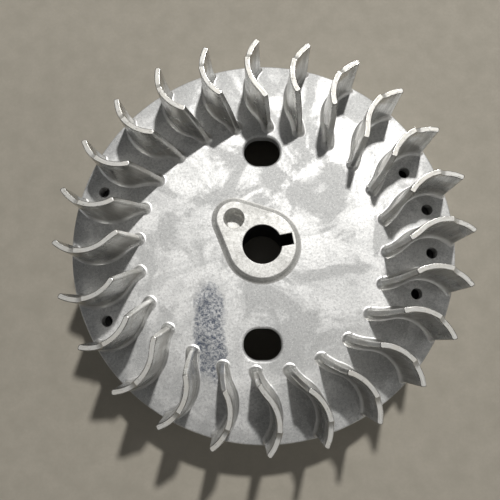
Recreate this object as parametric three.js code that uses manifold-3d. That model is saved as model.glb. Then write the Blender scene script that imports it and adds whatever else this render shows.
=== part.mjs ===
// Die-cast flywheel with a ring of curved fan blades, millimetres, +Z up.
// The crankshaft axis is Z.  The open edge of the skirt stands on z = 0 and the
// blades point up.
import * as THREE from 'three';
import { mergeVertices } from 'three/addons/utils/BufferGeometryUtils.js';
import Module from 'manifold-3d';

const wasm = await Module();
wasm.setup();

const DEG = Math.PI / 180;

// Casting: web, shallow cone, sloping band, rim and skirt.
const RIM_R = 120;
const RIM_EDGE_R = 118.7;
const RIM_EDGE_Z = 49.1;
const SKIRT_EDGE = 1;
const SKIRT_INNER_R = 112;
const WEB_TOP = 52.4;
const WEB_THICK = 7;
const WEB_FLAT_R = 86;
const WEB_OUTER_R = 111.7;
const WEB_CENTRE_R = 8;
const BAND_TOP = 51.4;
const RIM_TOP = 50.4;
const UPPER_SURFACE = [
  [WEB_FLAT_R, WEB_TOP],
  [SKIRT_INNER_R, BAND_TOP],
  [RIM_EDGE_R, RIM_TOP],
];
const JOINT_GAP = 0.3;
const ROOT_SET_IN = 1.2;
const ROUND = 96;
const OVERCUT = 2;
const CUT_LOW = 30;
const CUT_HIGH = 70;

// Teardrop hub, its tapered bore, key slot and blind drive-pin hole.
const HUB_TOP = 57.2;
const HUB_BOTTOM = 4;
const HUB_HEAD_BOTTOM = 40.4;
const HUB_R = 21.3;
const HUB_NECK_R = 20.9;
const PIN_BOSS_R = 11.2;
const PIN_BOSS_X = -17.5;
const PIN_BOSS_Y = 16.2;
const BORE_TOP_R = 12.1;
const BORE_BOTTOM_R = 14.4;
const KEY_WIDTH = 7;
const KEY_REACH = 19.1;
const KEY_ANGLE = 10.7 * DEG;
const PIN_HOLE_R = 6.4;
const PIN_FLOOR_R = 5.4;
const PIN_HOLE_DEPTH = 12;

// Two oblong windows in the web, one each side of the hub.
const WINDOW_Y = 60.9;
const WINDOW_HALF_X = 11.6;
const WINDOW_HALF_Y = 9.6;
const WINDOW_CORNER_R = 9.2;

// Small holes near the rim: four over the ignition magnet, two over the weight.
const RIM_HOLE_R = 3.5;
const MAGNET_ANGLE = 4.8;
const WEIGHT_ANGLE = 183.6;
const MAGNET_HOLES = [
  { r: 101.2, offset: 22.5 },
  { r: 105.6, offset: 7.5 },
  { r: 104.9, offset: -7.5 },
  { r: 99.0, offset: -22.5 },
];
const WEIGHT_HOLES = [
  { r: 106.4, offset: 22.6 },
  { r: 106.4, offset: -22.6 },
];

// Fan blades.  Seen from above a blade is two tangent arcs: a large bend near the
// rim and an opposite, flatter bend at the foot.
const BLADES = 24;
const BEND_R = 22.9;
const BEND_X = 14.2;
const BEND_Y = 103.1;
const BEND_START = 222.8 * DEG;
const BEND_END = 137 * DEG;
const FOOT_BEND_R = 33.7;
const FOOT_SWEEP = 24.6 * DEG;
const BLADE_TOP = 89.6;
const BLADE_OUTER_TOP = 85.2;
const STEP = [
  [105.7, BLADE_TOP],
  [107.4, 86.5],
  [110.2, BLADE_OUTER_TOP],
];
const BLADE_STEPS = 20;
const STATION_GAP = 0.7;
const FOOT_RISE = 1.5;
const KNEE_R = 87.6;
const LONG_KNEE_R = 81.9;
const LONG_BLADES = [1, 4, 7, 13, 16, 19];
const HALF_TOP = 1.6;
const HALF_ROOT_HOLLOW = 2.7;
const HALF_ROOT_BACK = 2.1;

// Magnets and iron inside and in the wall of the skirt.
const YOKE_INNER_R = 108.2;
const YOKE_BOTTOM = 4;
const YOKE_TOP = 36;
const CHARGE_MAGNETS = 12;
const CHARGE_INNER_R = 101.5;
const CHARGE_SPAN = 25;
const POCKET_BOTTOM = 10;
const POCKET_TOP = 34;
const POCKET_FACE_R = 119.6;
const CHARGE_END_GAP = 2;
const IGNITION_HALF = 4.5;
const SHOE_END = 13.7;
const WEIGHT_HALF = 11.8;
const CLEAR_ANGLE = 0.16;

const CAST = { color: 0xc9cbcc, roughness: 0.42, metalness: 0.85 };
const HUB = { color: 0xc2c2be, roughness: 0.55, metalness: 0.8 };
const STEEL = { color: 0x6d6f72, roughness: 0.5, metalness: 0.9 };
const FERRITE = { color: 0x2b2b2d, roughness: 0.8, metalness: 0.1 };
const IRON = { color: 0x55524e, roughness: 0.7, metalness: 0.7 };

const group = new THREE.Group();

function toSolid(geometry) {
  geometry.deleteAttribute('normal');
  geometry.deleteAttribute('uv');
  const merged = mergeVertices(geometry, 1e-4);
  const vertProperties = new Float32Array(merged.attributes.position.array);
  const triVerts = new Uint32Array(merged.index.array);
  return new wasm.Manifold(new wasm.Mesh({ numProp: 3, vertProperties, triVerts }));
}

function addNode(name, solid, look) {
  const result = solid.getMesh();
  const geometry = new THREE.BufferGeometry();
  const position = new THREE.BufferAttribute(new Float32Array(result.vertProperties), 3);
  geometry.setAttribute('position', position);
  geometry.setIndex(new THREE.BufferAttribute(new Uint32Array(result.triVerts), 1));
  geometry.computeVertexNormals();
  const node = new THREE.Mesh(geometry, new THREE.MeshStandardMaterial(look));
  node.name = name;
  group.add(node);
}

// A closed profile of [radius, height] corners, turned round Z.
function turned(profile, segments = ROUND) {
  const points = profile.map(([r, z]) => new THREE.Vector2(r, z));
  points.push(points[0].clone());
  const geometry = new THREE.LatheGeometry(points, segments);
  geometry.rotateX(Math.PI / 2);
  return toSolid(geometry);
}

// A flat outline pushed up from z = low to z = high.
function prism(shape, low, high, curveSegments = 12) {
  const options = { depth: high - low, bevelEnabled: false, curveSegments };
  const geometry = new THREE.ExtrudeGeometry(shape, options);
  geometry.translate(0, 0, low);
  return toSolid(geometry);
}

function cylinder(x, y, topR, bottomR, low, high, segments = 48) {
  const geometry = new THREE.CylinderGeometry(topR, bottomR, high - low, segments);
  geometry.rotateX(Math.PI / 2);
  geometry.translate(x, y, (low + high) / 2);
  return toSolid(geometry);
}

// A block bent round Z between two radii and two angles in degrees.
function arcBlock(innerR, outerR, from, to, low, high) {
  const shape = new THREE.Shape();
  shape.absarc(0, 0, outerR, from * DEG, to * DEG, false);
  shape.absarc(0, 0, innerR, to * DEG, from * DEG, true);
  shape.closePath();
  return prism(shape, low, high, 8);
}

// Two circles joined by their common tangents, the outline of the hub's head.
function teardrop(grow) {
  const bigR = HUB_R + grow;
  const smallR = PIN_BOSS_R + grow;
  const reach = Math.hypot(PIN_BOSS_X, PIN_BOSS_Y);
  const towards = Math.atan2(PIN_BOSS_Y, PIN_BOSS_X);
  const lean = Math.acos((bigR - smallR) / reach);
  const shape = new THREE.Shape();
  shape.absarc(0, 0, bigR, towards + lean, towards - lean + 2 * Math.PI, false);
  shape.absarc(PIN_BOSS_X, PIN_BOSS_Y, smallR, towards - lean, towards + lean, false);
  shape.closePath();
  return shape;
}

function windowShape() {
  const flatX = WINDOW_HALF_X - WINDOW_CORNER_R;
  const flatY = WINDOW_HALF_Y - WINDOW_CORNER_R;
  const shape = new THREE.Shape();
  shape.absarc(flatX, flatY, WINDOW_CORNER_R, 0, Math.PI / 2, false);
  shape.absarc(-flatX, flatY, WINDOW_CORNER_R, Math.PI / 2, Math.PI, false);
  shape.absarc(-flatX, -flatY, WINDOW_CORNER_R, Math.PI, 1.5 * Math.PI, false);
  shape.absarc(flatX, -flatY, WINDOW_CORNER_R, 1.5 * Math.PI, 2 * Math.PI, false);
  shape.closePath();
  return shape;
}

// Height at radius r along a line of [radius, height] corners, level beyond its start.
function heightOn(line, r) {
  if (r <= line[0][0]) {
    return line[0][1];
  }
  const after = line.findIndex((corner) => r < corner[0]);
  const i = after < 0 ? line.length - 1 : after;
  const [fromR, fromZ] = line[i - 1];
  const [toR, toZ] = line[i];
  return fromZ + ((r - fromR) * (toZ - fromZ)) / (toR - fromR);
}

// Height of the casting's upper surface at radius r.
function surfaceHeight(r) {
  return heightOn(UPPER_SURFACE, r);
}

// Web: a flat disc that becomes a shallow cone, with its holes.
function makeWeb() {
  const edgeTop = surfaceHeight(WEB_OUTER_R);
  let web = turned([
    [WEB_CENTRE_R, WEB_TOP - WEB_THICK],
    [WEB_FLAT_R, WEB_TOP - WEB_THICK],
    [WEB_OUTER_R, edgeTop - WEB_THICK],
    [WEB_OUTER_R, edgeTop],
    [WEB_FLAT_R, WEB_TOP],
    [WEB_CENTRE_R, WEB_TOP],
  ]);
  web = web.subtract(prism(teardrop(JOINT_GAP), CUT_LOW, CUT_HIGH, 20));
  for (const side of [1, -1]) {
    const cut = prism(windowShape(), CUT_LOW, CUT_HIGH, 8).translate([0, side * WINDOW_Y, 0]);
    web = web.subtract(cut);
  }
  const holes = [
    ...MAGNET_HOLES.map((hole) => ({ r: hole.r, angle: MAGNET_ANGLE + hole.offset })),
    ...WEIGHT_HOLES.map((hole) => ({ r: hole.r, angle: WEIGHT_ANGLE + hole.offset })),
  ];
  for (const hole of holes) {
    const x = hole.r * Math.cos(hole.angle * DEG);
    const y = hole.r * Math.sin(hole.angle * DEG);
    web = web.subtract(cylinder(x, y, RIM_HOLE_R, RIM_HOLE_R, CUT_LOW, CUT_HIGH, 20));
  }
  addNode('casting_web', web, CAST);
}

// Skirt: the rim ring, with one pocket for the ignition magnet and one for the weight.
function makeSkirt() {
  let skirt = turned([
    [SKIRT_INNER_R, 0],
    [RIM_R - SKIRT_EDGE, 0],
    [RIM_R, SKIRT_EDGE],
    [RIM_R, RIM_EDGE_Z],
    [RIM_EDGE_R, RIM_TOP],
    [SKIRT_INNER_R, BAND_TOP],
  ]);
  const pockets = [
    { angle: MAGNET_ANGLE, half: SHOE_END + CLEAR_ANGLE },
    { angle: WEIGHT_ANGLE, half: WEIGHT_HALF + CLEAR_ANGLE },
  ];
  for (const { angle, half } of pockets) {
    const low = POCKET_BOTTOM - JOINT_GAP;
    const high = POCKET_TOP + JOINT_GAP;
    const innerR = SKIRT_INNER_R - OVERCUT;
    const outerR = RIM_R + OVERCUT;
    const cut = arcBlock(innerR, outerR, angle - half, angle + half, low, high);
    skirt = skirt.subtract(cut);
  }
  addNode('casting_skirt', skirt, CAST);
}

// Hub: teardrop head and round neck, bored on a taper.
function makeHub() {
  let hub = prism(teardrop(0), HUB_HEAD_BOTTOM, HUB_TOP, 20);
  const neckTop = HUB_HEAD_BOTTOM + OVERCUT;
  hub = hub.add(cylinder(0, 0, HUB_NECK_R, HUB_NECK_R, HUB_BOTTOM, neckTop, 40));
  const slope = (BORE_BOTTOM_R - BORE_TOP_R) / (HUB_TOP - HUB_BOTTOM);
  const topR = BORE_TOP_R - slope * OVERCUT;
  const bottomR = BORE_BOTTOM_R + slope * OVERCUT;
  const low = HUB_BOTTOM - OVERCUT;
  const high = HUB_TOP + OVERCUT;
  hub = hub.subtract(cylinder(0, 0, topR, bottomR, low, high));
  const key = new THREE.Shape();
  key.moveTo(0, -KEY_WIDTH / 2);
  key.lineTo(KEY_REACH, -KEY_WIDTH / 2);
  key.lineTo(KEY_REACH, KEY_WIDTH / 2);
  key.lineTo(0, KEY_WIDTH / 2);
  key.closePath();
  const slot = prism(key, low, high).rotate([0, 0, KEY_ANGLE / DEG]);
  hub = hub.subtract(slot);
  const floor = HUB_TOP - PIN_HOLE_DEPTH;
  const mouthR = PIN_HOLE_R + ((PIN_HOLE_R - PIN_FLOOR_R) * OVERCUT) / PIN_HOLE_DEPTH;
  hub = hub.subtract(cylinder(PIN_BOSS_X, PIN_BOSS_Y, mouthR, PIN_FLOOR_R, floor, high, 28));
  addNode('hub', hub, HUB);
}

// Plan point and hollow-side normal at length s along a blade's centreline, foot first.
function bladePoint(s) {
  const footLength = FOOT_BEND_R * FOOT_SWEEP;
  if (s >= footLength) {
    const angle = BEND_START - (s - footLength) / BEND_R;
    const nx = -Math.cos(angle);
    const ny = -Math.sin(angle);
    return { x: BEND_X - BEND_R * nx, y: BEND_Y - BEND_R * ny, nx, ny };
  }
  const footX = BEND_X + (BEND_R + FOOT_BEND_R) * Math.cos(BEND_START);
  const footY = BEND_Y + (BEND_R + FOOT_BEND_R) * Math.sin(BEND_START);
  const angle = BEND_START - Math.PI - FOOT_SWEEP * (1 - s / footLength);
  const nx = Math.cos(angle);
  const ny = Math.sin(angle);
  return { x: footX + FOOT_BEND_R * nx, y: footY + FOOT_BEND_R * ny, nx, ny };
}

const BLADE_LENGTH = FOOT_BEND_R * FOOT_SWEEP + BEND_R * (BEND_START - BEND_END);

function radiusAt(s) {
  const point = bladePoint(s);
  return Math.hypot(point.x, point.y);
}

// Length along the centreline where it reaches radius r, by halving.
function lengthAt(r) {
  let low = 0;
  let high = BLADE_LENGTH;
  for (let i = 0; i < 40; i += 1) {
    const middle = (low + high) / 2;
    if (radiusAt(middle) < r) {
      low = middle;
    } else {
      high = middle;
    }
  }
  return (low + high) / 2;
}

// Even lengths along a blade, with one at each corner of its upper edge.
function stationLengths(kneeR) {
  const corners = [kneeR, ...STEP.map(([r]) => r)].map(lengthAt);
  const even = Array.from({ length: BLADE_STEPS + 1 }, (_, i) => (BLADE_LENGTH * i) / BLADE_STEPS);
  const clear = even.filter((s) => corners.every((c) => Math.abs(c - s) > STATION_GAP));
  return [...clear, ...corners].toSorted((a, b) => a - b);
}

// Height of a blade's upper edge at radius r.
function bladeHeight(r, footR, kneeR) {
  const foot = [footR, WEB_TOP + FOOT_RISE];
  return heightOn([foot, [kneeR, BLADE_TOP], ...STEP, [RIM_R, BLADE_OUTER_TOP]], r);
}

function makeBlade(number) {
  const kneeR = LONG_BLADES.includes(number) ? LONG_KNEE_R : KNEE_R;
  const footR = radiusAt(0);
  const lengths = stationLengths(kneeR);
  const vertices = [];
  const indices = [];
  for (const s of lengths) {
    const station = bladePoint(s);
    const r = radiusAt(s);
    const top = bladeHeight(r, footR, kneeR);
    const share = (top - surfaceHeight(r)) / (BLADE_TOP - WEB_TOP);
    const hollow = HALF_TOP + (HALF_ROOT_HOLLOW - HALF_TOP) * share;
    const back = HALF_TOP + (HALF_ROOT_BACK - HALF_TOP) * share;
    for (const [offset, isRoot] of [[hollow, 1], [HALF_TOP, 0], [-HALF_TOP, 0], [-back, 1]]) {
      const x = station.x + station.nx * offset;
      const y = station.y + station.ny * offset;
      const root = surfaceHeight(Math.hypot(x, y) - ROOT_SET_IN) + JOINT_GAP;
      vertices.push(x, y, isRoot ? root : top);
    }
  }
  const last = lengths.length - 1;
  for (let i = 0; i < last; i += 1) {
    for (let j = 0; j < 4; j += 1) {
      const a = 4 * i + j;
      const b = 4 * i + ((j + 1) % 4);
      indices.push(a, b + 4, b, a, a + 4, b + 4);
    }
  }
  indices.push(0, 1, 2, 0, 2, 3);
  const end = 4 * last;
  indices.push(end, end + 2, end + 1, end, end + 3, end + 2);
  const geometry = new THREE.BufferGeometry();
  geometry.setAttribute('position', new THREE.Float32BufferAttribute(vertices, 3));
  geometry.setIndex(indices);
  geometry.rotateZ((-2 * Math.PI * (number - 1)) / BLADES);
  addNode(`fan_blade_${String(number).padStart(2, '0')}`, toSolid(geometry), CAST);
}

function makeMagnets() {
  const gapR = SKIRT_INNER_R - JOINT_GAP;
  const yoke = turned([
    [YOKE_INNER_R, YOKE_BOTTOM],
    [gapR, YOKE_BOTTOM],
    [gapR, YOKE_TOP],
    [YOKE_INNER_R, YOKE_TOP],
  ]);
  addNode('yoke_ring', yoke, STEEL);
  for (let i = 0; i < CHARGE_MAGNETS; i += 1) {
    const middle = MAGNET_ANGLE + (360 / CHARGE_MAGNETS) * i;
    const from = middle - CHARGE_SPAN / 2;
    const outerR = YOKE_INNER_R - JOINT_GAP;
    const low = YOKE_BOTTOM + CHARGE_END_GAP;
    const high = YOKE_TOP - CHARGE_END_GAP;
    const block = arcBlock(CHARGE_INNER_R, outerR, from, from + CHARGE_SPAN, low, high);
    addNode(`charge_magnet_${String(i + 1).padStart(2, '0')}`, block, FERRITE);
  }
  const inner = SKIRT_INNER_R + JOINT_GAP;
  const outer = POCKET_FACE_R;
  const centre = MAGNET_ANGLE;
  const edge = IGNITION_HALF;
  const shoe = edge + CLEAR_ANGLE;
  const low = POCKET_BOTTOM;
  const high = POCKET_TOP;
  addNode('ignition_magnet', arcBlock(inner, outer, centre - edge, centre + edge, low, high), FERRITE);
  const lead = arcBlock(inner, outer, centre + shoe, centre + SHOE_END, low, high);
  addNode('pole_shoe_lead', lead, STEEL);
  const trail = arcBlock(inner, outer, centre - SHOE_END, centre - shoe, low, high);
  addNode('pole_shoe_trail', trail, STEEL);
  const from = WEIGHT_ANGLE - WEIGHT_HALF;
  const weight = arcBlock(inner, outer, from, from + 2 * WEIGHT_HALF, low, high);
  addNode('counterweight', weight, IRON);
}

makeWeb();
makeSkirt();
makeHub();
for (let number = 1; number <= BLADES; number += 1) {
  makeBlade(number);
}
makeMagnets();

export default group;
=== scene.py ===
"""Looks of the fan flywheel: cast body, hub, blades, magnets and their materials.

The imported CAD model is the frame. Shapes here are worked out in millimetres and
written to meshes in metres.
"""

import math

import bmesh
import bpy
import numpy as np
from mathutils import Matrix, Vector


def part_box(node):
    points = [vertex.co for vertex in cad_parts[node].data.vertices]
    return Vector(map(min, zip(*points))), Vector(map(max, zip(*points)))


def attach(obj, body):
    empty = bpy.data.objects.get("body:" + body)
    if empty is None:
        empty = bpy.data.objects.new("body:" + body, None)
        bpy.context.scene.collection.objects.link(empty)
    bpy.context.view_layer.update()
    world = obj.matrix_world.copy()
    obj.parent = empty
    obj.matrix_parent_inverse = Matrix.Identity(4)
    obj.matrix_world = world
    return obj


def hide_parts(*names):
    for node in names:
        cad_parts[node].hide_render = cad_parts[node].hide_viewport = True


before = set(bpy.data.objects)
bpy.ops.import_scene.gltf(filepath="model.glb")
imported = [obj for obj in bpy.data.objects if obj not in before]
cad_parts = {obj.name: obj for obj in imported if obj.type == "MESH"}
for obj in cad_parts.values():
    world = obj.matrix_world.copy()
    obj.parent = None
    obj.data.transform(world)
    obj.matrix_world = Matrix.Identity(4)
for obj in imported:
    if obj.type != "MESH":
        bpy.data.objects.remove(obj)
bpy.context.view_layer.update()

MM = 0.001
TURN = 2 * math.pi


def node_points(name):
    """Corners of a CAD node, in millimetres."""
    return np.array([v.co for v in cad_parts[name].data.vertices], float) / MM


def node_box(name):
    """Lowest and highest corners of a CAD node, in millimetres."""
    low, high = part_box(name)
    return low / MM, high / MM


# Sizes read from the frame.
HUB_LOW, HUB_HIGH = node_box("hub")
SKIRT_HIGH = node_box("casting_skirt")[1]
RIM_R = SKIRT_HIGH.x
WEB_TOP = node_box("casting_web")[1].z
HUB_TOP = HUB_HIGH.z
HUB_BOTTOM = HUB_LOW.z
BLADE_TOP = node_box("fan_blade_01")[1].z

# Casting.
WEB_THICK = 7.0
WEB_FLAT_R = 86.0
SKIRT_INNER_R = 112.0
RIM_EDGE_R = 118.7
BAND_TOP = SKIRT_HIGH.z
RIM_TOP = BAND_TOP - 1.0
RIM_INSIDE_FILLET = 6.0
SKIRT_EDGE = 1.0
SKIRT_LIP = 0.8
AROUND = 240
JOINT_GAP = 0.3
CLEAR_ANGLE = 0.16

# Cutters for the casting: where they start, how far they pass a face, how they end.
CUT_FROM = 30.0
CUT_PAST = 3.0
POCKET_INSIDE = 2.0
HOLE_EDGE = 0.35
HUB_SEAT_GROWTH = -0.5
WINDOW_MOUTH = [(-1.0, 0.0), (-0.75, 0.12), (-0.25, 0.75), (0.0, 1.35), (CUT_PAST, 1.35)]

# Hub head, a teardrop of two circles.
HUB_R = 21.3
PIN_BOSS_R = 11.2
PIN_BOSS = Vector((-17.5, 16.2))
HUB_HEAD_BOTTOM = 40.4
HUB_NECK_R = 20.9
HUB_CHAMFER = 0.8
NECK_FILLET = 3.0
BORE_EDGE = 0.5
KEY_EDGE = 0.45
PIN_EDGE = 0.4
PIN_FLOOR_ROUND = 0.8
HUB_CUT_BELOW = 2.0
BORE_TOP_R = 12.1
BORE_BOTTOM_R = 14.4
KEY_WIDTH = 7.0
KEY_REACH = 19.1
BORE_WALL_REACH = KEY_REACH + 0.6
KEY_ANGLE = math.radians(10.7)
PIN_HOLE_R = 6.4
PIN_FLOOR_R = 5.4
PIN_HOLE_DEPTH = 12.0

# Web windows and the small holes near the rim.
WINDOW_Y = 60.9
WINDOW_HALF = Vector((11.6, 9.6))
WINDOW_CORNER_R = 9.2
RIM_HOLE_R = 3.5
MAGNET_ANGLE = 4.8
WEIGHT_ANGLE = 183.6
RIM_HOLES = [
    (101.2, MAGNET_ANGLE + 22.5),
    (105.6, MAGNET_ANGLE + 7.5),
    (104.9, MAGNET_ANGLE - 7.5),
    (99.0, MAGNET_ANGLE - 22.5),
    (106.4, WEIGHT_ANGLE + 22.6),
    (106.4, WEIGHT_ANGLE - 22.6),
]

# Blades: two tangent arcs seen from above.
BLADES = 24
BEND_R = 22.9
BEND_AT = Vector((14.2, 103.1))
BEND_START = math.radians(222.8)
BEND_END = math.radians(137.0)
FOOT_BEND_R = 33.7
FOOT_SWEEP = math.radians(24.6)
BLADE_OUTER_TOP = 85.2
STEP_START_R = 105.7
STEP_END_R = 110.2
HALF_TOP = 1.6
HALF_ROOT_HOLLOW = 2.7
HALF_ROOT_BACK = 2.1
BLADE_REACH = RIM_R - 0.1
ROOT_FILLET = 2.1
FOOT_FILLET = 3.6
NOSE_FILLET = 3.4
TOP_ROUND = 0.4
BLADE_SHARP = 44.0
BLADE_HEIGHT = BLADE_TOP - WEB_TOP
CORNER_STEPS = 5
FRONT_ROUND = 0.95
END_ROUND = 1.0
END_DRAFT = 0.5
SUNK = 0.05
BURIED = 0.5

YOKE_EDGE = 0.5

# The dark worn stain on the web beside the front window, in millimetres.
WORN_AT = (-32.0, -54.0)
WORN_HALF = (9.5, 29.0)
WORN_TURN = math.radians(3)
WORN_DEPTH = 4.0
WORN_TONE = (0.10, 0.12, 0.165)


def arc(x, y, radius, start, end, steps):
    """Points on an arc, angles in radians, both ends included."""
    angles = np.linspace(start, end, steps + 1)
    return [(x + radius * math.cos(a), y + radius * math.sin(a)) for a in angles]


def surface_height(r):
    """Height of the casting's upper surface at radius r."""
    radii = (WEB_FLAT_R, SKIRT_INNER_R, RIM_EDGE_R)
    return float(np.interp(r, radii, (WEB_TOP, BAND_TOP, RIM_TOP)))


# ---------------------------------------------------------------- meshes


def make_object(name, points, faces):
    """A mesh object from points in millimetres."""
    mesh = bpy.data.meshes.new(name)
    mesh.from_pydata([Vector(p) * MM for p in points], [], faces)
    mesh.validate()
    piece = bpy.data.objects.new(name, mesh)
    bpy.context.scene.collection.objects.link(piece)
    return piece


def outward(piece):
    """Faces point out."""
    work = bmesh.new()
    work.from_mesh(piece.data)
    bmesh.ops.recalc_face_normals(work, faces=work.faces)
    work.to_mesh(piece.data)
    work.free()


def settle(piece):
    """Applies the modifiers."""
    bpy.context.view_layer.update()
    graph = bpy.context.evaluated_depsgraph_get()
    mesh = bpy.data.meshes.new_from_object(piece.evaluated_get(graph))
    piece.modifiers.clear()
    piece.data = mesh


def shade(piece, angle=38.0):
    """Smooth shading with true edges kept, and flat faces shaded flat."""
    piece.data.shade_smooth()
    piece.data.set_sharp_from_angle(angle=math.radians(angle))
    weights = piece.modifiers.new("flat_faces", "WEIGHTED_NORMAL")
    weights.keep_sharp = True
    settle(piece)


def side_faces(levels, count):
    """Faces between closed rings of count points, one ring above the other."""
    faces = []
    for i in range(levels - 1):
        for j in range(count):
            a = i * count + j
            b = i * count + (j + 1) % count
            faces.append((a, b, b + count, a + count))
    return faces


def stack(name, rings):
    """A closed solid through rings of equal length, each a list of (x, y, z)."""
    count = len(rings[0])
    points = [p for ring in rings for p in ring]
    faces = side_faces(len(rings), count)
    faces.append(tuple(reversed(range(count))))
    faces.append(tuple(range((len(rings) - 1) * count, len(rings) * count)))
    piece = make_object(name, points, faces)
    outward(piece)
    return piece


def turned(name, profile, around=AROUND):
    """A closed profile of (radius, height) points turned round Z."""
    count = len(profile)
    points = []
    for step in range(around):
        a = TURN * step / around
        points += [(r * math.cos(a), r * math.sin(a), z) for r, z in profile]
    faces = []
    for step in range(around):
        here = step * count
        there = ((step + 1) % around) * count
        for j in range(count):
            k = (j + 1) % count
            faces.append((here + j, here + k, there + k, there + j))
    piece = make_object(name, points, faces)
    outward(piece)
    return piece


def cut(piece, cutters):
    """Takes the cutters out of the piece and deletes them."""
    for cutter in cutters:
        tool = piece.modifiers.new(cutter.name, "BOOLEAN")
        tool.operation = "DIFFERENCE"
        tool.solver = "EXACT"
        tool.object = cutter
    settle(piece)
    for cutter in cutters:
        bpy.data.objects.remove(cutter)


def eased(bottom, top, edge):
    """(height, growth) levels of a cutter whose mouth at height top is rounded by edge."""
    levels = [(bottom, 0.0)]
    for turn in np.linspace(0, math.pi / 2, 5):
        levels.append((top - edge + edge * math.sin(turn), edge * (1 - math.cos(turn))))
    levels.append((top + CUT_PAST, edge))
    return levels


def cutter(name, outline, levels):
    """A cutter through levels; outline(growth) gives its plan points."""
    return stack(name, [[(x, y, z) for x, y in outline(grow)] for z, grow in levels])


# ---------------------------------------------------------------- outlines


def teardrop(grow):
    """Two circles joined by their common tangents."""
    big = HUB_R + grow
    small = PIN_BOSS_R + grow
    towards = math.atan2(PIN_BOSS.y, PIN_BOSS.x)
    lean = math.acos((big - small) / PIN_BOSS.length)
    head = arc(0, 0, big, towards + lean, towards - lean + TURN, 80)
    boss = arc(PIN_BOSS.x, PIN_BOSS.y, small, towards - lean, towards + lean, 32)
    return head + boss


def circle(x, y, radius, steps=64):
    """A full circle of plan points."""
    return arc(x, y, radius, 0, TURN, steps)[:-1]


def window(grow, side):
    """A web window with round corners, behind the hub (side 1) or in front (side -1)."""
    corner = WINDOW_CORNER_R + grow
    flat_x = WINDOW_HALF.x - WINDOW_CORNER_R
    flat_y = WINDOW_HALF.y - WINDOW_CORNER_R
    outline = []
    for quarter, (sx, sy) in enumerate([(1, 1), (-1, 1), (-1, -1), (1, -1)]):
        start = quarter * math.pi / 2
        centre_y = side * WINDOW_Y + sy * flat_y
        outline += arc(sx * flat_x, centre_y, corner, start, start + math.pi / 2, 12)
    return outline


def key_slot(grow):
    """The key slot, from the crank axis outwards."""
    half = KEY_WIDTH / 2 + grow
    corners = [(0, -half), (KEY_REACH + grow, -half), (KEY_REACH + grow, half), (0, half)]
    c, s = math.cos(KEY_ANGLE), math.sin(KEY_ANGLE)
    return [(x * c - y * s, x * s + y * c) for x, y in corners]


# ---------------------------------------------------------------- casting


def casting_profile():
    """Web, shallow cone, sloping band, rounded rim, skirt and the fillet inside.

    The straight stretches have extra rings, which keep the faces short.
    """
    under = WEB_TOP - WEB_THICK
    rim = RIM_R - RIM_EDGE_R
    inner = RIM_INSIDE_FILLET
    up = math.pi / 2
    radii = (8, 24, 40, 56, 72, 80, 84, 86, 88, 96, 104, 110, 112, 114)
    blend = 0.25
    profile = [(r, (surface_height(r - 2) + 2 * surface_height(r) + surface_height(r + 2)) / 4)
               for r in radii]
    profile += arc(RIM_EDGE_R, RIM_TOP - rim, rim, up - blend, 0, 7)
    profile += [(RIM_R, z) for z in (38, 30, 20, 10)]
    profile += arc(RIM_R - SKIRT_EDGE, SKIRT_EDGE, SKIRT_EDGE, 0, -up, 4)
    profile += arc(SKIRT_INNER_R + SKIRT_LIP, SKIRT_LIP, SKIRT_LIP, -up, -2 * up, 3)
    profile += [(SKIRT_INNER_R, z) for z in (12, 24)]
    profile += arc(SKIRT_INNER_R - inner, under - 1 - inner, inner, 0, up, 8)
    profile += [(r, under) for r in (88, 76, 56, 40, 24, 8)]
    return profile


def angle_block(name, inner_r, outer_r, middle, half, low, high):
    """A cutter block bent round Z; angles in degrees."""
    start = math.radians(middle - half)
    end = math.radians(middle + half)
    outline = arc(0, 0, outer_r, start, end, 24) + arc(0, 0, inner_r, end, start, 24)
    return cutter(name, lambda grow: outline, [(low, 0), (high, 0)])


def hole_cutters():
    """The two windows and the six small holes near the rim."""
    levels = [(CUT_FROM, 0.0)] + [(WEB_TOP + rise, grow) for rise, grow in WINDOW_MOUTH]
    tools = []
    for side in (1, -1):
        tools.append(cutter("window_cut", lambda grow, side=side: window(grow, side), levels))
    levels = eased(CUT_FROM, WEB_TOP, HOLE_EDGE)
    for r, degrees in RIM_HOLES:
        x = r * math.cos(math.radians(degrees))
        y = r * math.sin(math.radians(degrees))
        tools.append(
            cutter("hole_cut", lambda grow, x=x, y=y: circle(x, y, RIM_HOLE_R + grow, 40), levels)
        )
    return tools


def pocket_cutters():
    """Room in the rim wall for the ignition magnet with its shoes, and for the counterweight."""
    tools = []
    for names in (("pole_shoe_trail", "ignition_magnet", "pole_shoe_lead"), ("counterweight",)):
        spans = [arc_span(name) for name in names]
        start = spans[0]["start"] - CLEAR_ANGLE
        end = spans[-1]["end"] + CLEAR_ANGLE
        low = spans[0]["low"] - JOINT_GAP
        high = spans[0]["high"] + JOINT_GAP
        middle, half = (start + end) / 2, (end - start) / 2
        inner, outer = SKIRT_INNER_R - POCKET_INSIDE, RIM_R + CUT_PAST
        tools.append(angle_block("pocket_cut", inner, outer, middle, half, low, high))
    return tools


def make_casting():
    """Web and skirt in one piece, with the hub's seat, windows, small holes and pockets."""
    body = turned("cast_body", casting_profile())
    seat = [(CUT_FROM, HUB_SEAT_GROWTH), (WEB_TOP + CUT_PAST, HUB_SEAT_GROWTH)]
    cut(body, [cutter("hub_seat", teardrop, seat)] + hole_cutters() + pocket_cutters())
    shade(body)
    finish(body, "cast_aluminium", "casting_web", "casting_skirt")
    return body


# ---------------------------------------------------------------- hub


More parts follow.
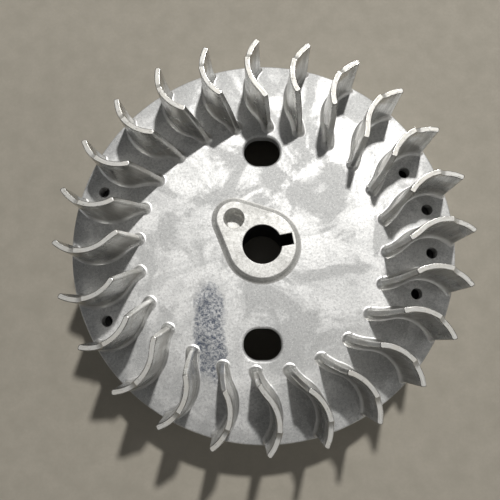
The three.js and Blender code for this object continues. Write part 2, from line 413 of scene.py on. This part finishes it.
def hub_rings():
    """(height, growth) from the root fillet up to the rounded top edge."""
    fillet = 3.4
    draft = 0.5
    edge = 0.9
    foot_z = WEB_TOP - 0.1
    levels = []
    for turn in np.linspace(0, math.pi / 2, 7):
        grow = fillet * (1 - math.sin(turn)) + draft
        levels.append((foot_z + fillet * (1 - math.cos(turn)), grow))
    for turn in np.linspace(0, math.pi / 2, 5):
        grow = edge * (math.cos(turn) - 1)
        levels.append((HUB_TOP - edge + edge * math.sin(turn), grow))
    return levels


def in_key_slot(x, y):
    """True for a point, in metres, inside the key slot's plan."""
    along = (x * math.cos(KEY_ANGLE) + y * math.sin(KEY_ANGLE)) / MM
    across = (y * math.cos(KEY_ANGLE) - x * math.sin(KEY_ANGLE)) / MM
    return BORE_TOP_R - 1 < along < KEY_REACH + 1 and abs(across) < KEY_WIDTH / 2 + 0.5


def hub_head():
    """Teardrop head, from its chamfered lower edge up to the machined face."""
    under = WEB_TOP - WEB_THICK
    levels = [(HUB_HEAD_BOTTOM, -HUB_CHAMFER), (HUB_HEAD_BOTTOM + HUB_CHAMFER, 0), (under, 0)]
    # Just under the web's surface the head spreads to meet its root fillet.
    levels += [(WEB_TOP - 1.2, 0.5), (WEB_TOP - 0.6, hub_rings()[0][1] - 0.5)]
    rings = [[(x, y, z) for x, y in teardrop(g)] for z, g in levels + hub_rings()]
    return stack("hub_machined", rings)


def hub_neck():
    """Round neck with a fillet under the head, reaching a little way into it."""
    levels = [(HUB_BOTTOM, HUB_NECK_R - HUB_CHAMFER), (HUB_BOTTOM + HUB_CHAMFER, HUB_NECK_R)]
    bend = arc(HUB_NECK_R + NECK_FILLET, HUB_HEAD_BOTTOM - NECK_FILLET, NECK_FILLET, math.pi,
               math.pi / 2, 6)
    levels += [(z, r) for r, z in bend]
    levels.append((HUB_HEAD_BOTTOM + 1.5, HUB_NECK_R - 1))
    return stack("neck", [[(x, y, z) for x, y in circle(0, 0, r, 96)] for z, r in levels])


def hub_cutters():
    """Tapered bore, key slot and blind drive-pin hole."""
    slope = (BORE_BOTTOM_R - BORE_TOP_R) / (HUB_TOP - HUB_BOTTOM)
    below = HUB_BOTTOM - HUB_CUT_BELOW
    mouth = eased(HUB_TOP - BORE_EDGE, HUB_TOP, BORE_EDGE)[1:]
    levels = [(below, BORE_BOTTOM_R + HUB_CUT_BELOW * slope)]
    levels += [(z, BORE_TOP_R + grow) for z, grow in mouth]
    bore = stack("bore", [[(x, y, z) for x, y in circle(0, 0, r, 96)] for z, r in levels])
    slot = cutter("slot", key_slot, eased(below, HUB_TOP, KEY_EDGE))
    floor = HUB_TOP - PIN_HOLE_DEPTH
    taper = PIN_FLOOR_R - PIN_HOLE_R
    levels = [(floor, taper - PIN_FLOOR_ROUND), (floor + PIN_FLOOR_ROUND, taper)]
    levels += eased(floor, HUB_TOP, PIN_EDGE)[1:]
    pin = cutter("pin", lambda grow: circle(PIN_BOSS.x, PIN_BOSS.y, PIN_HOLE_R + grow), levels)
    return [bore, slot, pin]


def paint_bore_shade(hub):
    """Gives the walls of the bore and the key slot the second, near-black material: painted shade
    inside the bore.
    """
    reach = BORE_WALL_REACH * MM
    for face in hub.data.polygons:
        x, y, z = face.center
        nearby = math.hypot(x, y) < reach and abs(face.normal.z) < 0.3
        if nearby and (x * face.normal.x + y * face.normal.y < 0 or in_key_slot(x, y)):
            face.material_index = 1


def make_hub():
    """Head and neck joined, then bored, slotted and drilled."""
    hub = hub_head()
    neck = hub_neck()
    join = hub.modifiers.new("neck", "BOOLEAN")
    join.operation = "UNION"
    join.solver = "EXACT"
    join.object = neck
    settle(hub)
    bpy.data.objects.remove(neck)
    cut(hub, hub_cutters())
    shade(hub)
    finish(hub, "hub_alloy", "hub")
    paint_bore_shade(hub)
    return hub


# ---------------------------------------------------------------- blades


def blade_line(s):
    """Plan point and hollow-side normal at length s along the blade, foot first."""
    foot_length = FOOT_BEND_R * FOOT_SWEEP
    out = Vector((math.cos(BEND_START), math.sin(BEND_START)))
    if s >= foot_length:
        angle = BEND_START - (s - foot_length) / BEND_R
        normal = -Vector((math.cos(angle), math.sin(angle)))
        return BEND_AT - BEND_R * normal, normal
    foot_at = BEND_AT + (BEND_R + FOOT_BEND_R) * out
    sweep = FOOT_SWEEP * (1 - max(s, 0.0) / foot_length)
    angle = BEND_START - math.pi - sweep
    normal = Vector((math.cos(angle), math.sin(angle)))
    point = foot_at + FOOT_BEND_R * normal
    if s < 0:
        point += Vector((-normal.y, normal.x)) * s
    return point, normal


BLADE_LENGTH = FOOT_BEND_R * FOOT_SWEEP + BEND_R * (BEND_START - BEND_END)


def length_at(r):
    """Length along the blade where its centreline is at radius r."""
    steps = np.linspace(0, BLADE_LENGTH, 400)
    radii = [blade_line(s)[0].length for s in steps]
    return float(np.interp(r, radii, steps))


STEP_START = length_at(STEP_START_R)
STEP_END = length_at(STEP_END_R)


def knee_radius(node):
    """Radius where a CAD blade's upper edge starts."""
    points = node_points(node)
    tops = points[points[:, 2] > BLADE_TOP - 0.05]
    return float(np.sort(np.hypot(tops[:, 0], tops[:, 1]))[:2].mean())


def rim_height(r):
    """Height of the casting's surface at radius r, with the rounding at the rim."""
    rounding = RIM_R - RIM_EDGE_R
    past = min(max(r - RIM_EDGE_R, 0.0), rounding)
    return surface_height(min(r, RIM_EDGE_R)) - rounding + math.sqrt(rounding**2 - past**2)


def fillet_growth(radius, z):
    """How far a fillet stands out from its wall at height z."""
    if z >= radius:
        return 0.0
    return radius - math.sqrt(radius**2 - (radius - z) ** 2)


def nose_reach(z, run):
    """How far the fillet stands out in front of the leaning front edge at height z."""
    lean = math.atan2(BLADE_HEIGHT, run)
    if z >= NOSE_FILLET * (1 - math.cos(lean)):
        return 0.0
    along = math.sqrt(NOSE_FILLET**2 - (NOSE_FILLET - z) ** 2)
    return max(z / math.tan(lean) + NOSE_FILLET * math.tan(lean / 2) - along, 0.0)


def half_width(s, z, root, knee):
    """Half thickness at length s and height z, on the side whose root is given."""
    here = min(max(s / knee, 0.0), 1.0)
    draft = (root - HALF_TOP) * max(here - z / BLADE_HEIGHT, 0.0)
    radius = FOOT_FILLET + (ROOT_FILLET - FOOT_FILLET) * here
    return HALF_TOP + draft + fillet_growth(radius, z)


def blade_levels():
    """(height above the web, inset at the top) for each ring of a blade."""
    rises = [FOOT_FILLET * (1 - math.cos(a)) for a in np.linspace(0, math.pi / 2, 11)]
    levels = [(z, 0.0) for z in rises]
    shares = (0.12, 0.2, 0.3, 0.4, 0.5, 0.6, 0.7, 0.8, 0.9, 0.96)
    levels += [(BLADE_HEIGHT * share, 0.0) for share in shares]
    for turn in np.linspace(0, math.pi / 2, 5):
        lift = BLADE_HEIGHT - TOP_ROUND + TOP_ROUND * math.sin(turn)
        levels.append((lift, TOP_ROUND * (1 - math.cos(turn))))
    return levels


def blade_plan(z, inset, knee):
    """Outline at height z as (length, across) points: nose, hollow side, end, back side."""
    quarter = math.pi / 2
    share = z / BLADE_HEIGHT
    end_grow = fillet_growth(ROOT_FILLET, z)
    nose_r = FRONT_ROUND + 1.1 * fillet_growth(FOOT_FILLET, z) - 0.5 * inset
    end_r = END_ROUND + end_grow - 0.5 * inset
    start = knee * share - nose_reach(z, knee) + inset
    end = BLADE_LENGTH + END_DRAFT * (1 - share) + end_grow - inset

    def hollow(s):
        return half_width(s, z, HALF_ROOT_HOLLOW, knee) - inset

    def back(s):
        return inset - half_width(s, z, HALF_ROOT_BACK, knee)

    at = start + nose_r
    nose = arc(at, back(at) + nose_r, nose_r, 3 * quarter, 2 * quarter, CORNER_STEPS)
    nose += arc(at, hollow(at) - nose_r, nose_r, 2 * quarter, quarter, CORNER_STEPS)
    stops = list(np.linspace(at, STEP_START, 28)[1:])
    stops += list(np.linspace(STEP_START, STEP_END, 9)[1:])
    stops += list(np.linspace(STEP_END, end - end_r, 8)[1:-1])
    tip = arc(end - end_r, hollow(end) - end_r, end_r, quarter, 0, CORNER_STEPS)
    tip += arc(end - end_r, back(end) + end_r, end_r, 0, -quarter, CORNER_STEPS)
    return nose + [(s, hollow(s)) for s in stops] + tip + [(s, back(s)) for s in reversed(stops)]


def blade_ring(plan, z):
    """The plan's points in space: bent along the blade, on the casting and under the top edge."""
    ring = []
    for s, across in plan:
        point, normal = blade_line(s)
        place = point + normal * across
        place *= min(1.0, BLADE_REACH / place.length)
        part = min(max((s - STEP_START) / (STEP_END - STEP_START), 0.0), 1.0)
        drop = (BLADE_TOP - BLADE_OUTER_TOP) * (1 - (1 - part) ** 2)
        base = rim_height(place.length) - SUNK
        ring.append((place.x, place.y, base + z / BLADE_HEIGHT * (BLADE_TOP - drop - base)))
    return ring


def blade_faces(levels, count):
    """A blade's faces, and how many of them come before the top's."""
    faces = side_faces(levels, count)
    faces.append(tuple(reversed(range(count))))
    before_top = len(faces)
    top = (levels - 1) * count
    nose = 2 * (CORNER_STEPS + 1)
    sides = count // 2 - nose
    last = 2 * nose + sides
    faces.append(tuple(top + j for j in range(nose)))
    hollow_side = [nose - 1] + list(range(nose, nose + sides + 1))
    back_side = [0] + list(range(count - 1, last - 2, -1))
    for k in range(sides + 1):
        a, b = hollow_side[k], hollow_side[k + 1]
        c, d = back_side[k + 1], back_side[k]
        faces.append((top + a, top + b, top + c, top + d))
    faces.append(tuple(top + j for j in range(nose + sides, last)))
    return faces, before_top


def lay_grain(blade, plans, points, before_top):
    """UVs in metres, round and up the sides and along the top, which has its own material."""
    grain = blade.data.uv_layers.new(name="grain")
    count = len(plans[0])
    perimeter = [0.0]
    middle = plans[len(plans) // 2]
    for j in range(1, count):
        perimeter.append(perimeter[-1] + math.dist(middle[j], middle[j - 1]))
    for polygon in blade.data.polygons:
        is_top = polygon.index >= before_top
        polygon.material_index = 1 if is_top else 0
        for loop in polygon.loop_indices:
            vertex = blade.data.loops[loop].vertex_index
            j = vertex % count
            s, across = plans[vertex // count][j]
            side_grain = (perimeter[j] * MM, points[vertex][2] * MM)
            grain.data[loop].uv = (across * MM, s * MM) if is_top else side_grain


def make_blade(number):
    """One fan blade: leaning front edge, root fillets, and an upper edge that steps down."""
    node = f"fan_blade_{number:02d}"
    knee = length_at(knee_radius(node))
    levels = blade_levels()
    plans = [blade_plan(z, inset, knee) for z, inset in levels]
    rings = [blade_ring(plan, z) for plan, (z, inset) in zip(plans, levels)]
    # One more ring buries the blade's foot in the casting.
    plans.insert(0, plans[0])
    rings.insert(0, [(x, y, z - BURIED) for x, y, z in rings[0]])
    points = [p for ring in rings for p in ring]
    faces, before_top = blade_faces(len(rings), len(rings[0]))
    blade = make_object(f"cast_blade_{number:02d}", points, faces)
    lay_grain(blade, plans, points, before_top)
    outward(blade)
    blade.data.transform(Matrix.Rotation(-TURN * (number - 1) / BLADES, 4, "Z"))
    shade(blade, BLADE_SHARP)
    finish(blade, "cast_aluminium", node)
    return blade


# ---------------------------------------------------------------- magnets


def arc_span(name):
    """Radii, angles in degrees and heights that a bent CAD block fills."""
    points = node_points(name)
    radii = np.hypot(points[:, 0], points[:, 1])
    angles = np.degrees(np.arctan2(points[:, 1], points[:, 0]))
    middle = math.degrees(math.atan2(points[:, 1].mean(), points[:, 0].mean()))
    turned_angles = (angles - middle + 180) % 360 - 180
    return {
        "inner": radii.min(),
        "outer": radii.max(),
        "start": middle + turned_angles.min(),
        "end": middle + turned_angles.max(),
        "low": points[:, 2].min(),
        "high": points[:, 2].max(),
    }


def bent_block(name, node, slot, bevel, recess=0.0):
    """A bevelled block bent round Z that fills a CAD node, its face set in by recess."""
    span = arc_span(node)
    steps = max(4, round((span["end"] - span["start"]) / 1.5))
    start, end = math.radians(span["start"]), math.radians(span["end"])
    outer = span["outer"] - recess
    outline = arc(0, 0, outer, start, end, steps) + arc(0, 0, span["inner"], end, start, steps)
    rings = [[(x, y, z) for x, y in outline] for z in (span["low"], span["high"])]
    block = stack(name, rings)
    soften = block.modifiers.new("edges", "BEVEL")
    soften.width = bevel * MM
    soften.segments = 3
    soften.limit_method = "ANGLE"
    soften.angle_limit = math.radians(50)
    settle(block)
    shade(block)
    finish(block, slot, node)
    return block


def make_yoke():
    """The steel ring behind the charging magnets."""
    span = arc_span("yoke_ring")
    c = YOKE_EDGE
    inner, outer, low, high = span["inner"], span["outer"], span["low"], span["high"]
    profile = arc(outer - c, high - c, c, math.pi / 2, 0, 3)
    profile += arc(outer - c, low + c, c, 0, -math.pi / 2, 3)
    profile += arc(inner + c, low + c, c, -math.pi / 2, -math.pi, 3)
    profile += arc(inner + c, high - c, c, math.pi, math.pi / 2, 3)
    yoke = turned("magnet_yoke", profile, 192)
    shade(yoke)
    finish(yoke, "yoke_steel", "yoke_ring")


def make_magnets():
    """Yoke, charging magnets, the ignition magnet with its pole shoes, and the counterweight."""
    make_yoke()
    for number in range(1, 13):
        bent_block(f"ring_magnet_{number:02d}", f"charge_magnet_{number:02d}", "ferrite", 0.7)
    bent_block("spark_magnet", "ignition_magnet", "ferrite", 0.5, recess=0.3)
    bent_block("pole_lead", "pole_shoe_lead", "pole_steel", 0.4)
    bent_block("pole_trail", "pole_shoe_trail", "pole_steel", 0.4)
    bent_block("balance_weight", "counterweight", "weight_iron", 0.8, recess=0.4)


# ---------------------------------------------------------------- materials


class Nodes:
    """Short names for building one material's nodes."""

    def __init__(self, name):
        self.material = bpy.data.materials.new(name)
        self.material.use_nodes = True
        self.tree = self.material.node_tree
        self.shader = self.tree.nodes["Principled BSDF"]
        self.place = self.tree.nodes.new("ShaderNodeTexCoord").outputs["Object"]

    def link(self, output, target):
        self.tree.links.new(output, target)

    def grain_uv(self):
        uv = self.tree.nodes.new("ShaderNodeUVMap")
        uv.uv_map = "grain"
        return uv.outputs["UV"]

    def polar(self):
        """Arc length round Z on a 70 mm circle, radius and height, in metres."""
        split = self.tree.nodes.new("ShaderNodeSeparateXYZ")
        self.link(self.place, split.inputs["Vector"])
        x, y, z = split.outputs
        angle = self.math("ARCTAN2", y, x)
        radius = self.math("SQRT", self.math("ADD", self.math("MULTIPLY", x, x),
                                             self.math("MULTIPLY", y, y)), 0.0)
        joined = self.tree.nodes.new("ShaderNodeCombineXYZ")
        self.link(self.math("MULTIPLY", angle, 70 * MM), joined.inputs["X"])
        self.link(radius, joined.inputs["Y"])
        self.link(z, joined.inputs["Z"])
        return joined.outputs["Vector"]

    def noise(self, size_mm, detail=3.0, rough=0.55, vector=None, stretch=None, distort=0.0):
        """Noise whose features are about size_mm across."""
        source = vector or self.place
        if stretch:
            scale = self.tree.nodes.new("ShaderNodeMapping")
            scale.inputs["Scale"].default_value = stretch
            self.link(source, scale.inputs["Vector"])
            source = scale.outputs["Vector"]
        node = self.tree.nodes.new("ShaderNodeTexNoise")
        node.inputs["Scale"].default_value = 1 / (size_mm * MM)
        node.inputs["Detail"].default_value = detail
        node.inputs["Roughness"].default_value = rough
        node.inputs["Distortion"].default_value = distort
        self.link(source, node.inputs["Vector"])
        return node.outputs["Fac"]

    def spread(self, value, low, high, to_low=0.0, to_high=1.0):
        """Maps value from low..high to to_low..to_high."""
        node = self.tree.nodes.new("ShaderNodeMapRange")
        for socket, number in zip(("From Min", "From Max", "To Min", "To Max"),
                                  (low, high, to_low, to_high)):
            node.inputs[socket].default_value = number
        self.link(value, node.inputs["Value"])
        return node.outputs["Result"]

    def mix(self, share, first, second):
        """Colour between first and second; either may be a colour or an output."""
        node = self.tree.nodes.new("ShaderNodeMix")
        node.data_type = "RGBA"
        self.link(share, node.inputs["Factor"])
        for socket, value in ((node.inputs[6], first), (node.inputs[7], second)):
            if isinstance(value, tuple):
                socket.default_value = (*value, 1.0)
            else:
                self.link(value, socket)
        return node.outputs[2]

    def math(self, operation, first, second):
        node = self.tree.nodes.new("ShaderNodeMath")
        node.operation = operation
        for socket, value in zip(node.inputs, (first, second)):
            if isinstance(value, float):
                socket.default_value = value
            else:
                self.link(value, socket)
        return node.outputs["Value"]

    def bump(self, height, depth_mm, below=None):
        """Relief from a height output, laid over the normal below."""
        node = self.tree.nodes.new("ShaderNodeBump")
        node.inputs["Distance"].default_value = depth_mm * MM
        self.link(height, node.inputs["Height"])
        if below:
            self.link(below, node.inputs["Normal"])
        return node.outputs["Normal"]

    def finish(self, colour, roughness, normal, metallic):
        self.link(colour, self.shader.inputs["Base Color"])
        self.link(roughness, self.shader.inputs["Roughness"])
        self.link(normal, self.shader.inputs["Normal"])
        self.shader.inputs["Metallic"].default_value = metallic
        return self.material


def worn_mask(n):
    """1 inside the soft-edged worn stain on the web's upper face, 0 outside."""
    shift = n.tree.nodes.new("ShaderNodeMapping")
    shift.vector_type = "TEXTURE"
    shift.inputs["Location"].default_value = (WORN_AT[0] * MM, WORN_AT[1] * MM, WEB_TOP * MM)
    shift.inputs["Rotation"].default_value = (0, 0, WORN_TURN)
    shift.inputs["Scale"].default_value = (WORN_HALF[0] * MM, WORN_HALF[1] * MM, WORN_DEPTH * MM)
    n.link(n.place, shift.inputs["Vector"])
    split = n.tree.nodes.new("ShaderNodeSeparateXYZ")
    n.link(shift.outputs["Vector"], split.inputs["Vector"])
    reach = 0.0
    for axis in split.outputs:
        square = n.math("MULTIPLY", axis, axis)
        reach = n.math("ADD", n.math("MULTIPLY", square, square), reach)
    ragged = n.spread(n.noise(9, 6, 0.7), 0.3, 0.7, -0.8, 0.8)
    return n.spread(n.math("ADD", reach, ragged), 0.35, 1.25, 1.0, 0.0)


def cast_skin(name, light, middle, dark, rough_low, rough_high, metallic, worn=False):
    """Die-cast aluminium: flow marks, radial draw streaks, grain, specks and the worn stain."""
    n = Nodes(name)
    flow = n.spread(n.noise(46, 6, 0.6, distort=1.6), 0.46, 0.54)
    cloud = n.spread(n.noise(64, 3, 0.5, distort=0.6), 0.42, 0.60)
    flecks = n.spread(n.noise(15, 5, 0.62, distort=0.9), 0.47, 0.58)
    grain = n.noise(1.5, 4, 0.75)
    fine = n.noise(0.6, 3, 0.7)
    waves = n.noise(13, 3, 0.5)
    rays = n.noise(9, 3, 0.6, n.polar(), (1.0, 0.10, 0.10))
    colour = n.mix(n.math("MULTIPLY", flow, 0.8), light, middle)
    colour = n.mix(n.math("MULTIPLY", cloud, 0.45), colour, middle)
    colour = n.mix(n.math("MULTIPLY", flecks, 0.4), colour, middle)
    colour = n.mix(n.spread(rays, 0.52, 0.68, 0.0, 0.55), colour, middle)
    colour = n.mix(n.spread(grain, 0.44, 0.70, 0.0, 0.7), colour, dark)
    colour = n.mix(n.spread(fine, 0.56, 0.68, 0.0, 0.8), colour, (0.98, 0.98, 0.97))
    if worn:
        speckle = n.spread(n.noise(1.9, 4, 0.8), 0.40, 0.60, 1.0, 0.2)
        colour = n.mix(n.math("MULTIPLY", worn_mask(n), speckle), colour, WORN_TONE)
    roughness = n.spread(n.math("ADD", flow, grain), 0.3, 1.6, rough_low, rough_high)
    normal = n.bump(waves, 0.13)
    normal = n.bump(rays, 0.05, normal)
    normal = n.bump(n.noise(3.4, 4, 0.6), 0.10, normal)
    normal = n.bump(grain, 0.06, normal)
    normal = n.bump(fine, 0.02, normal)
    return n.finish(colour, roughness, normal, metallic)


def blade_skin():
    """Blade sides: smooth die skin with draw lines up the blade, painted darker than the web as
    painted shade, with a painted highlight along the root fillets.
    """
    n = Nodes("blade_sides")
    grain_uv = n.grain_uv()
    streaks = n.noise(1.6, 4, 0.65, grain_uv, (1.0, 0.05, 1.0))
    broad = n.noise(8, 4, 0.6, grain_uv, (1.0, 0.22, 1.0))
    clouds = n.spread(n.noise(24, 4, 0.6, distort=0.8), 0.42, 0.60)
    specks = n.noise(0.9, 3, 0.75)
    # Painted shade: the sides' tones are set well below the web's aluminium, for the dimmer upright
    # faces; the streaks and clouds laid over them are the die's own marks.
    light, dark, warm = (0.72, 0.72, 0.70), (0.25, 0.245, 0.235), (0.44, 0.415, 0.37)
    colour = n.mix(n.spread(streaks, 0.42, 0.66, 0.0, 0.5), light, dark)
    colour = n.mix(n.spread(broad, 0.47, 0.60, 0.0, 0.5), colour, dark)
    colour = n.mix(n.math("MULTIPLY", clouds, 0.5), colour, warm)
    colour = n.mix(n.spread(specks, 0.58, 0.70, 0.0, 0.6), colour, (0.95, 0.95, 0.93))
    height = n.tree.nodes.new("ShaderNodeSeparateXYZ")
    n.link(grain_uv, height.inputs["Vector"])
    # Painted highlight: the lowest 4 mm of each side, over the root fillets, is lightened; it is
    # also made rougher.
    root = n.spread(height.outputs["Y"], WEB_TOP * MM, (WEB_TOP + 4) * MM, 1.0, 0.0)
    colour = n.mix(n.math("MULTIPLY", root, 0.8), colour, (0.93, 0.93, 0.92))
    roughness = n.spread(n.math("ADD", streaks, clouds), 0.4, 1.5, 0.22, 0.36)
    roughness = n.math("ADD", roughness, n.math("MULTIPLY", root, 0.2))
    normal = n.bump(broad, 0.32)
    normal = n.bump(streaks, 0.04, normal)
    normal = n.bump(specks, 0.03, normal)
    return n.finish(colour, roughness, normal, 1.0)


def blade_edge():
    """Blade tops: trimmed and scuffed along their length, with small pits."""
    n = Nodes("blade_tops")
    grain_uv = n.grain_uv()
    streaks = n.noise(0.8, 4, 0.65, grain_uv, (1.0, 0.10, 1.0))
    broad = n.noise(9, 4, 0.6)
    pits = n.spread(n.noise(1.3, 4, 0.75), 0.60, 0.68)
    colour = n.mix(n.spread(streaks, 0.38, 0.66, 0.0, 0.7), (0.74, 0.735, 0.71), (0.46, 0.45, 0.42))
    colour = n.mix(n.spread(broad, 0.46, 0.6, 0.0, 0.4), colour, (0.66, 0.63, 0.56))
    colour = n.mix(n.math("MULTIPLY", pits, 0.8), colour, (0.20, 0.19, 0.17))
    roughness = n.spread(streaks, 0.3, 0.7, 0.50, 0.66)
    normal = n.bump(streaks, 0.05)
    normal = n.bump(n.math("MULTIPLY", pits, -1.0), 0.08, normal)
    return n.finish(colour, roughness, normal, 0.55)


def dull_metal(name, light, dark, roughness, metallic, grain_mm, depth):
    """Steel, iron or sintered ferrite: two mixed tones over a fine grain."""
    n = Nodes(name)
    clouds = n.spread(n.noise(14, 4, 0.6), 0.36, 0.66)
    grain = n.noise(grain_mm, 3, 0.65)
    colour = n.mix(clouds, light, dark)
    colour = n.mix(n.spread(grain, 0.4, 0.7, 0.0, 0.4), colour, dark)
    rough = n.spread(grain, 0.3, 0.7, roughness - 0.08, roughness + 0.1)
    return n.finish(colour, rough, n.bump(grain, depth), metallic)


def stamped_steel():
    """Pole shoes: thin steel stampings, seen as fine lines across the height."""
    n = Nodes("pole_stampings")
    lines = n.tree.nodes.new("ShaderNodeTexWave")
    lines.bands_direction = "Z"
    lines.inputs["Scale"].default_value = 1 / (0.9 * MM) / TURN * 2
    lines.inputs["Distortion"].default_value = 0.3
    lines.inputs["Detail"].default_value = 1.0
    n.link(n.place, lines.inputs["Vector"])
    grooves = lines.outputs["Fac"]
    worn = n.noise(3.0, 4, 0.6)
    colour = n.mix(n.spread(worn, 0.35, 0.7), (0.42, 0.42, 0.43), (0.24, 0.22, 0.20))
    colour = n.mix(n.spread(grooves, 0.0, 0.3, 0.5, 0.0), colour, (0.08, 0.07, 0.06))
    rough = n.spread(worn, 0.3, 0.7, 0.34, 0.55)
    return n.finish(colour, rough, n.bump(grooves, 0.06), 0.95)


def make_materials():
    """Every material, by the slot of the pieces that wear it."""
    return {
        "cast_aluminium": [
            cast_skin("cast_skin", (0.93, 0.93, 0.92), (0.60, 0.605, 0.60), (0.42, 0.425, 0.43),
                      0.54, 0.69, 0.72, worn=True),
        ],
        "hub_alloy": [
            cast_skin("hub_skin", (0.86, 0.855, 0.83), (0.70, 0.695, 0.67), (0.42, 0.42, 0.40),
                      0.50, 0.62, 0.7),
            # Near-black bore walls: painted shade inside the bore and key slot.
            dull_metal("bore_painted_shade", (0.10, 0.105, 0.115), (0.05, 0.052, 0.058), 0.5, 0.9, 0.8, 0.02),
        ],
        "yoke_steel": [dull_metal("yoke_steel", (0.40, 0.40, 0.41), (0.22, 0.21, 0.20), 0.45, 0.95,
                                  0.8, 0.02)],
        "pole_steel": [stamped_steel()],
        "ferrite": [dull_metal("ferrite", (0.055, 0.055, 0.06), (0.028, 0.028, 0.03), 0.62, 0.0,
                               0.5, 0.03)],
        "weight_iron": [dull_metal("weight_iron", (0.26, 0.25, 0.24), (0.14, 0.12, 0.10), 0.6, 0.8,
                                   1.2, 0.06)],
        "blade": [blade_skin(), blade_edge()],
        "floor": [dull_metal("studio_floor", (0.44, 0.405, 0.34), (0.39, 0.36, 0.30), 0.8, 0.0,
                             2.0, 0.0)],
    }


MATERIALS = {}


def finish(piece, slot, *nodes):
    """Gives a piece the materials of its slot and its body; the nodes it stands for get its look and
    are hidden.
    """
    looks = MATERIALS["blade"] if piece.name.startswith("cast_blade") else MATERIALS[slot]
    for look in looks:
        piece.data.materials.append(look)
    for node in nodes:
        dress(node, looks[0])
    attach(piece, "root")
    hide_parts(*nodes)


def dress(node, look):
    """The hidden CAD node gets the same look."""
    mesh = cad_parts[node].data
    mesh.materials.clear()
    mesh.materials.append(look)


# ---------------------------------------------------------------- studio


def make_camera():
    """The photograph's viewing angle: almost straight down, from slightly in front."""
    data = bpy.data.cameras.new("camera")
    data.sensor_width = 36.0
    data.lens = 37.92
    data.shift_x = 0.0109
    data.shift_y = 0.0008
    data.clip_start = 0.01
    camera = bpy.data.objects.new("camera", data)
    tilt = Vector((0.1501, 0.0232, 0.0))
    place = Matrix.Translation(Vector((-3.4, -52.2, 376.4)) * MM)
    camera.matrix_world = place @ Matrix.Rotation(tilt.length, 4, tilt)
    bpy.context.scene.collection.objects.link(camera)
    bpy.context.scene.camera = camera


def softbox(name, towards, distance, size, power, colour=(1, 1, 1)):
    """A round lamp in the direction towards, facing the middle of the part."""
    data = bpy.data.lights.new(name, "AREA")
    data.shape = "DISK"
    data.size = size
    data.energy = power
    data.color = colour
    lamp = bpy.data.objects.new(name, data)
    middle = Vector((0, 0, 0.05))
    direction = Vector(towards).normalized()
    lamp.location = middle + direction * distance
    lamp.rotation_euler = direction.to_track_quat("Z", "Y").to_euler()
    bpy.context.scene.collection.objects.link(lamp)


def make_studio():
    """Plain floor, one small key lamp for the crisp shadows and broad soft fills."""
    half = 1.5
    floor = make_object(
        "studio_floor",
        [(x * half / MM, y * half / MM, 0) for x, y in ((-1, -1), (1, -1), (1, 1), (-1, 1))],
        [(0, 1, 2, 3)],
    )
    floor.data.materials.append(MATERIALS["floor"][0])
    softbox("key", (0.155, 0.56, 1.0), 2.2, 0.12, 33, (1.0, 0.985, 0.96))
    softbox("overhead", (0.02, 0.14, 1.0), 1.4, 1.5, 0.75, (0.98, 0.99, 1.0))
    softbox("front_fill", (0.5, -0.9, 0.7), 1.6, 0.5, 1.2, (1.0, 0.98, 0.94))
    softbox("right_fill", (1.0, -0.15, 0.5), 1.5, 0.6, 1.7, (1.0, 0.985, 0.95))
    softbox("left_fill", (-1.0, -0.1, 0.35), 1.5, 0.4, 0.8, (0.97, 0.98, 1.0))
    world = bpy.data.worlds.new("studio")
    world.use_nodes = True
    sky = world.node_tree.nodes["Background"]
    sky.inputs["Color"].default_value = (0.92, 0.92, 0.90, 1.0)
    sky.inputs["Strength"].default_value = 0.05
    bpy.context.scene.world = world
    bpy.context.scene.view_settings.view_transform = "Standard"


MATERIALS.update(make_materials())
make_casting()
make_hub()
for blade_number in range(1, BLADES + 1):
    make_blade(blade_number)
make_magnets()
make_camera()
make_studio()
